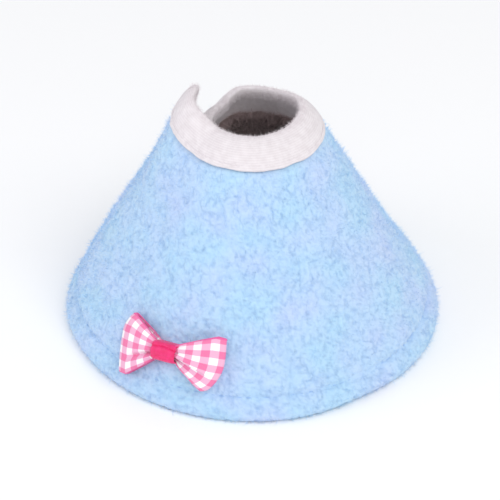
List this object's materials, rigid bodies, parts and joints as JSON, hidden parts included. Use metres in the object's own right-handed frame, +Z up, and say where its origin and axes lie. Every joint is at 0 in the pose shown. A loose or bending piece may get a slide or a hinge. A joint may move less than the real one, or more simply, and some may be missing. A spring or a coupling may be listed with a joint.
{
  "type": "elizabethan collar",
  "caption": "Soft padded fleece cone with a cotton-bound neck, a hook-and-loop overlap closure and a ribbon bow; it unwraps into a sheet.",
  "frame": {"origin": "middle of the footprint, on the surface that the wide rim stands on", "axes": "+Z up the cone from the wide rim to the neck; -Y is the front, with the bow to its left (-X); +X is the right"},
  "size_m": [0.1474, 0.146, 0.0915],
  "materials": {
    "fleece": "pale blue curly fleece, matt",
    "foam": "open-cell foam, matt",
    "lining": "dark grey-brown brushed cloth, matt",
    "binding": "off-white plain-weave cotton",
    "hook_loop": "white hook-and-loop tape",
    "gingham": "pink and white gingham ribbon",
    "knot": "hot pink satin ribbon"
  },
  "bodies": {
    "bow_panel": {"bow_panel_fleece": "fleece", "bow_panel_foam": "foam", "bow_panel_lining": "lining", "bow_panel_neck_binding": "binding", "bow_ribbon": "gingham", "bow_knot": "knot"},
    "left_panel": {"left_panel_fleece": "fleece", "left_panel_foam": "foam", "left_panel_lining": "lining", "left_panel_neck_binding": "binding"},
    "closure_flap": {"closure_flap_fleece": "fleece", "closure_flap_foam": "foam", "closure_flap_lining": "lining", "closure_flap_neck_binding": "binding", "hook_strip": "hook_loop"},
    "front_panel": {"front_panel_fleece": "fleece", "front_panel_foam": "foam", "front_panel_lining": "lining", "front_panel_neck_binding": "binding"},
    "right_front_panel": {"right_front_panel_fleece": "fleece", "right_front_panel_foam": "foam", "right_front_panel_lining": "lining", "right_front_panel_neck_binding": "binding"},
    "right_back_panel": {"right_back_panel_fleece": "fleece", "right_back_panel_foam": "foam", "right_back_panel_lining": "lining", "right_back_panel_neck_binding": "binding"},
    "back_panel": {"back_panel_fleece": "fleece", "back_panel_foam": "foam", "back_panel_lining": "lining", "back_panel_neck_binding": "binding"},
    "left_back_panel": {"left_back_panel_fleece": "fleece", "left_back_panel_foam": "foam", "left_back_panel_lining": "lining", "left_back_panel_neck_binding": "binding"},
    "underlap": {"underlap_fleece": "fleece", "underlap_foam": "foam", "underlap_lining": "lining", "underlap_neck_binding": "binding", "loop_strip": "hook_loop"}
  },
  "joints": [
    {"name": "unwrap", "type": "hinge", "parent": "bow_panel", "child": "front_panel", "pos_m": [-0.00283, -0.05248, 0.03789], "axis": [-0.0412, -0.4708, -0.8813], "range_deg": [0, 40]},
    {"name": "left_bend", "type": "hinge", "parent": "bow_panel", "child": "left_panel", "pos_m": [-0.04219, -0.02976, 0.03789], "axis": [0.3871, 0.271, 0.8813], "range_deg": [0, 40]},
    {"name": "closure_peel", "type": "hinge", "parent": "left_panel", "child": "closure_flap", "pos_m": [-0.05469, -0.00091, 0.03941], "axis": [0.4723, 0.0165, 0.8813], "range_deg": [0, 80]},
    {"name": "right_front_bend", "type": "hinge", "parent": "front_panel", "child": "right_front_panel", "pos_m": [0.03986, -0.03694, 0.03789], "axis": [0.3341, -0.3341, -0.8813], "range_deg": [0, 40]},
    {"name": "right_side_bend", "type": "hinge", "parent": "right_front_panel", "child": "right_back_panel", "pos_m": [0.0554, 0.00575, 0.03789], "axis": [0.4708, 0.0412, -0.8813], "range_deg": [0, 40]},
    {"name": "right_back_bend", "type": "hinge", "parent": "right_back_panel", "child": "back_panel", "pos_m": [0.03268, 0.0451, 0.03789], "axis": [0.271, 0.3871, -0.8813], "range_deg": [0, 40]},
    {"name": "back_bend", "type": "hinge", "parent": "back_panel", "child": "left_back_panel", "pos_m": [-0.01206, 0.053, 0.03789], "axis": [-0.1223, 0.4564, -0.8813], "range_deg": [0, 40]},
    {"name": "underlap_bend", "type": "hinge", "parent": "left_back_panel", "child": "underlap", "pos_m": [-0.0415, 0.0261, 0.03591], "axis": [-0.4092, 0.2363, -0.8813], "range_deg": [0, 40]}
  ],
  "couplings": [
    {"joint": "left_bend", "follows": "unwrap", "ratio": 1},
    {"joint": "closure_peel", "follows": "unwrap", "ratio": 2},
    {"joint": "right_front_bend", "follows": "unwrap", "ratio": 1},
    {"joint": "right_side_bend", "follows": "unwrap", "ratio": 1},
    {"joint": "right_back_bend", "follows": "unwrap", "ratio": 1},
    {"joint": "back_bend", "follows": "unwrap", "ratio": 1},
    {"joint": "underlap_bend", "follows": "unwrap", "ratio": 1}
  ]
}
